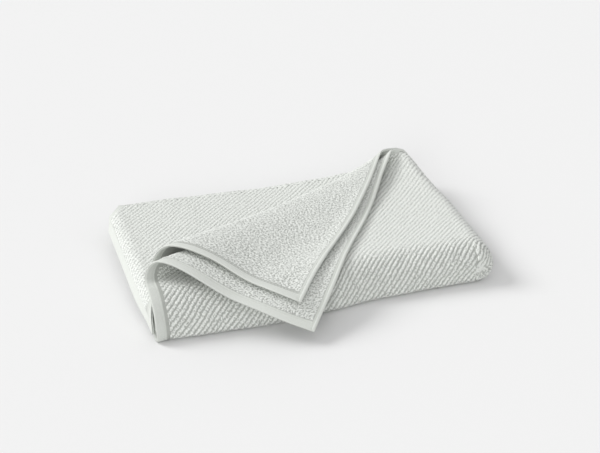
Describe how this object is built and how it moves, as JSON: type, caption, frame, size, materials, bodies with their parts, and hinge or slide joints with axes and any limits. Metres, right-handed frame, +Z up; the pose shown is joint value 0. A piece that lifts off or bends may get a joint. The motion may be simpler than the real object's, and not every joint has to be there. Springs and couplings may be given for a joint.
{
  "type": "folded bath towel",
  "caption": "Bath towel folded flat into a rectangular stack of layers, with one corner of the two top layers turned back over the near side.",
  "frame": {"origin": "centre of the bounding box on the surface that the towel rests on", "axes": "+X along the long side towards the closed right-hand fold, +Y away from the turned-back tip, +Z up"},
  "size_m": [0.356, 0.2704, 0.0703],
  "materials": {
    "cotton_terry": "pale grey-green cotton terry with a short looped pile in fine diagonal ribs and smooth woven hem bands"
  },
  "bodies": {
    "root": {"towel": "cotton_terry"}
  },
  "joints": []
}
